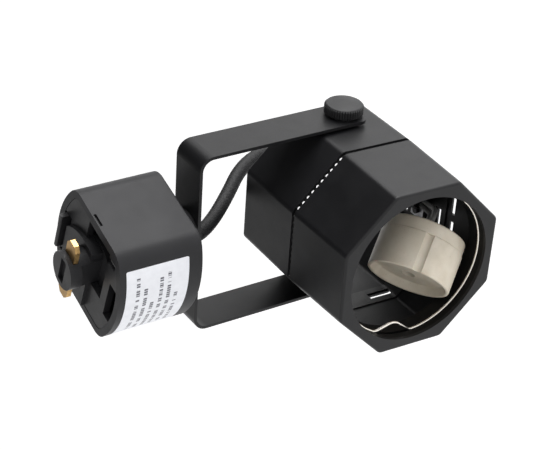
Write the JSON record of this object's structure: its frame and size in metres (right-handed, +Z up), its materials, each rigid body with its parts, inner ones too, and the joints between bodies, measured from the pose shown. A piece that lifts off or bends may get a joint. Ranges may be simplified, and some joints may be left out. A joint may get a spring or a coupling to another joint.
{
  "type": "track spotlight",
  "caption": "Black track spotlight: boxed track adapter, swivelling U-bracket and tilting octagonal head with a round lamp aperture and a loose ceramic lampholder.",
  "frame": {"origin": "centre of the adapter's track face, on the axis of the contact post", "axes": "+Z up into the track; X along the head's tilt axis, towards the thumb screw; at rest the lamp shines along -Y"},
  "size_m": [0.0715, 0.0889, 0.1345],
  "materials": {
    "adapter_plastic": "satin charcoal moulding",
    "cover_plastic": "satin charcoal moulding",
    "black_plastic": "matt black moulding",
    "terminal_plastic": "off-white moulding",
    "brass": "plain brass",
    "bright_steel": "bright nickel plate",
    "spring_steel": "drawn wire",
    "zinc_steel": "zinc plate",
    "spring_wire": "drawn spring wire",
    "label_paper": "printed film label",
    "black_paint": "fine matt powder coat",
    "black_screw": "black oxide",
    "black_inner": "matt black",
    "mesh_metal": "matt black perforated sheet",
    "braided_sleeve": "braided glass-fibre sleeve",
    "grey_insulation": "silicone insulation",
    "ceramic": "unglazed cream steatite ceramic"
  },
  "bodies": {
    "adapter": {"adapter_housing": "adapter_plastic", "adapter_cover": "cover_plastic", "contact_post": "cover_plastic", "line_contact": "brass", "neutral_contact": "brass", "earth_contact": "bright_steel", "terminal_block": "terminal_plastic", "terminal_screws": "bright_steel", "latch_spring": "spring_steel", "rating_label": "label_paper", "swivel_nipple": "zinc_steel", "swivel_disc": "black_plastic", "swivel_washer": "black_screw", "swivel_nut": "black_screw"},
    "latch": {"lock_latch": "cover_plastic"},
    "yoke": {"u_bracket": "black_paint", "swivel_bush": "black_plastic", "cable": "braided_sleeve"},
    "head": {"rear_shell": "black_paint", "front_shell": "black_paint", "perforated_sleeve": "mesh_metal", "lamp_collar": "black_inner", "retaining_ring": "spring_wire", "upper_spacer": "black_plastic", "lower_spacer": "black_plastic", "upper_rivet_nut": "zinc_steel", "lower_rivet_nut": "zinc_steel", "pivot_screw": "black_screw", "cable_clip": "zinc_steel", "clip_screws": "black_screw", "holder_leads": "grey_insulation"},
    "holder": {"lamp_holder": "ceramic", "holder_back": "ceramic", "holder_contacts": "bright_steel", "holder_screws": "bright_steel"},
    "thumb_screw": {"thumb_screw": "black_plastic", "thumb_washer": "zinc_steel"}
  },
  "joints": [
    {"name": "swivel", "type": "hinge", "parent": "adapter", "child": "yoke", "pos_m": [0, 0, -0.0354], "axis": [0, 0, 1], "range_deg": [-175, 175]},
    {"name": "head_tilt", "type": "hinge", "parent": "yoke", "child": "head", "pos_m": [0, 0, -0.0946], "axis": [1, 0, 0], "range_deg": [-35, 215], "deforming": ["cable"]},
    {"name": "thumb_screw_turn", "type": "hinge", "parent": "head", "child": "thumb_screw", "pos_m": [0.04, 0, -0.0946], "axis": [1, 0, 0], "range_deg": [0, 360]},
    {"name": "lock_latch_slide", "type": "slide", "parent": "adapter", "child": "latch", "axis": [0, 0, 1], "range_m": [-0.0036, 0], "stiffness_N_per_m": 300, "springref_m": 0.003, "deforming": ["latch_spring"]},
    {"name": "lampholder_swing", "type": "hinge", "parent": "head", "child": "holder", "pos_m": [0, -0.0154, -0.12008], "axis": [0, 0.0349, 0.9994], "range_deg": [0, 12], "deforming": ["holder_leads"]}
  ]
}
